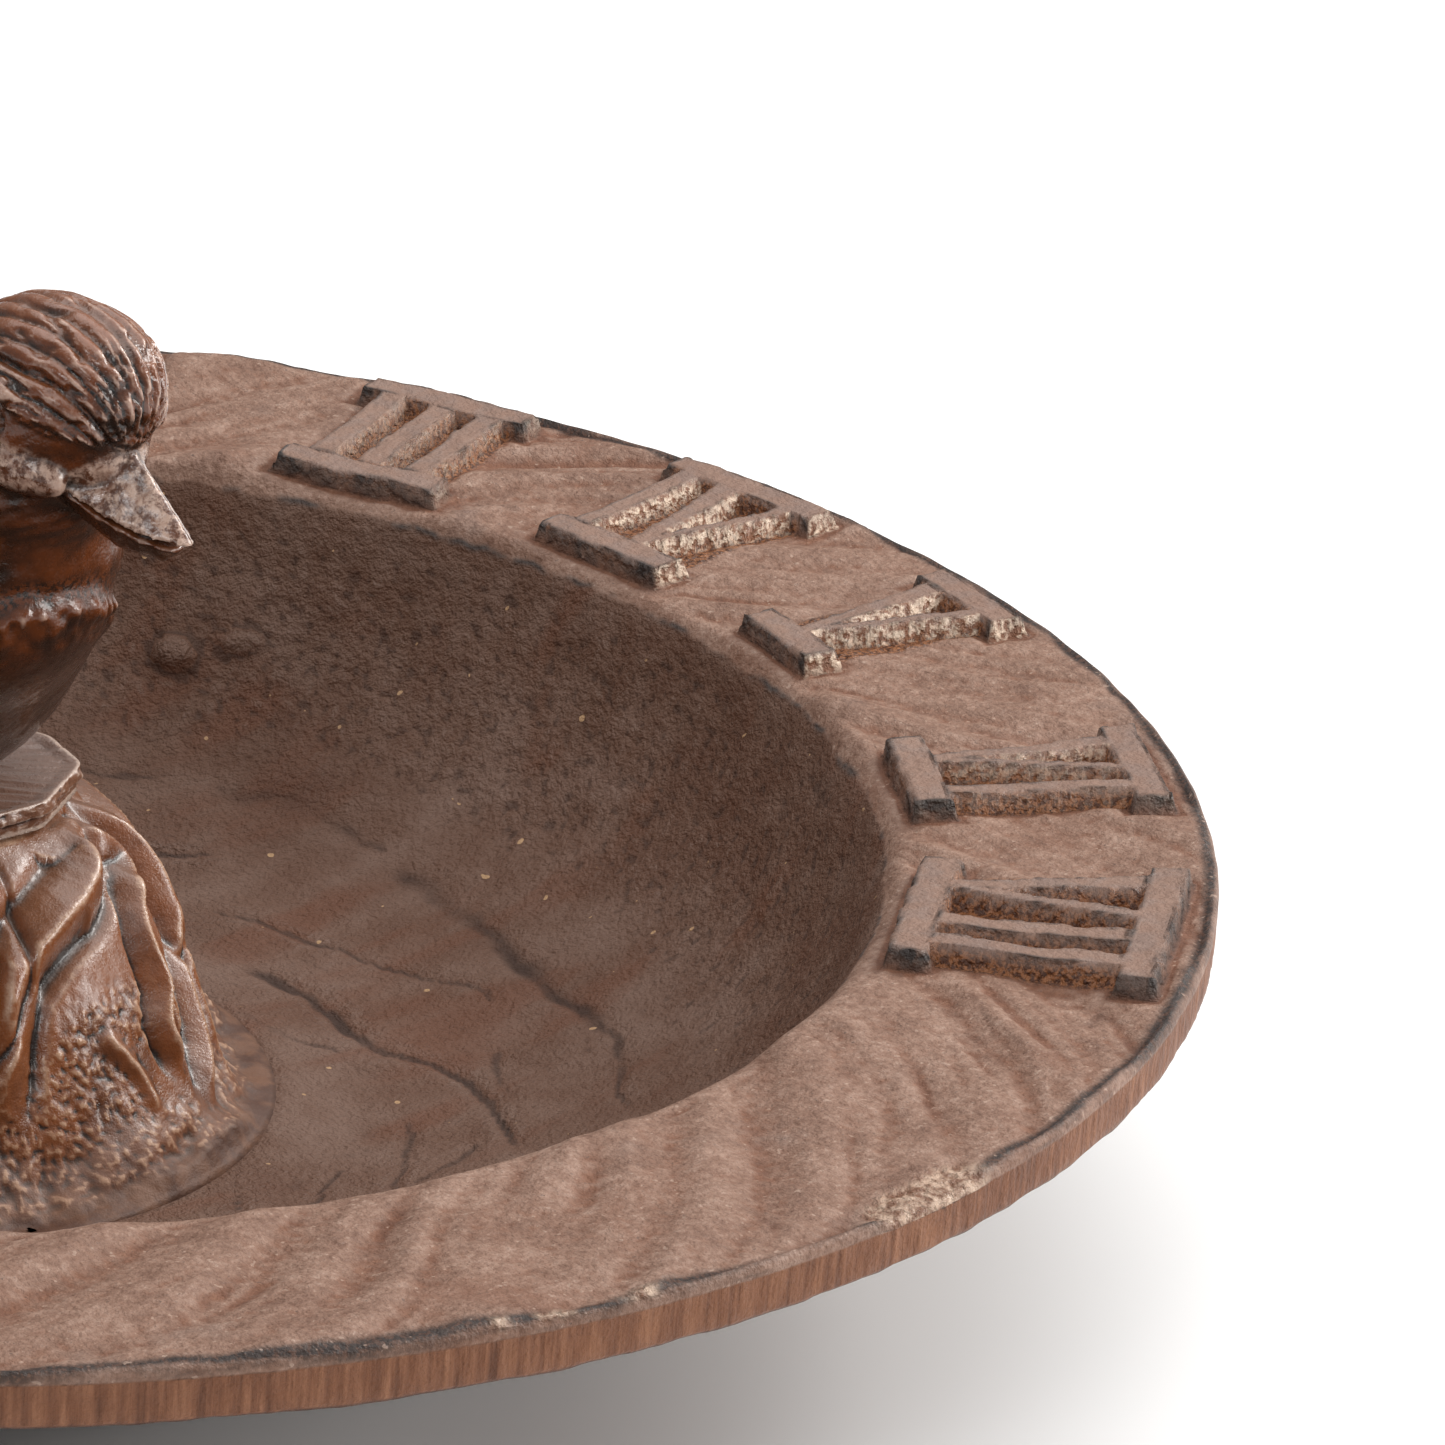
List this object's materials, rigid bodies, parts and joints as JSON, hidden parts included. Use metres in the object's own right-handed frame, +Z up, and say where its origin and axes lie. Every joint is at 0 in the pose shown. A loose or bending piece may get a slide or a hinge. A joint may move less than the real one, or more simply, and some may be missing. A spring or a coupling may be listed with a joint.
{
  "type": "garden sundial",
  "caption": "Cast-iron garden sundial: a shallow round dish with a raised-numeral hour ring, a central stump, and a perched songbird figure that turns on its centre stud.",
  "frame": {"origin": "centre of the base on the plane the foot pads stand on, on the dish axis", "axes": "+Z up along the dish axis; +Y towards the XII mark (noon line); hour marks run clockwise seen from above; the bird faces -Y at rest"},
  "size_m": [0.28, 0.28, 0.1068],
  "materials": {
    "dish_iron": "antique brown, grainy as-cast",
    "stump_iron": "antique brown lacquer over coarse casting, glossy",
    "slab_iron": "antique brown lacquer, glossy",
    "bird_iron": "dark antique brown lacquer, glossy",
    "zinc_steel": "bright zinc plated",
    "black_rubber": "matt black rubber"
  },
  "bodies": {
    "base": {"dish": "dish_iron", "stump": "stump_iron", "stump_gasket": "black_rubber", "seal_washer": "black_rubber", "foot_pad_1": "black_rubber", "foot_pad_2": "black_rubber", "foot_pad_3": "black_rubber"},
    "figure": {"perch_slab": "slab_iron", "bird": "bird_iron", "centre_stud": "zinc_steel", "stud_washer": "zinc_steel", "stud_nut": "zinc_steel"}
  },
  "joints": [
    {"name": "bird_swivel", "type": "hinge", "parent": "base", "child": "figure", "pos_m": [0, 0, 0.0476], "axis": [0, 0, 1], "continuous": true}
  ]
}
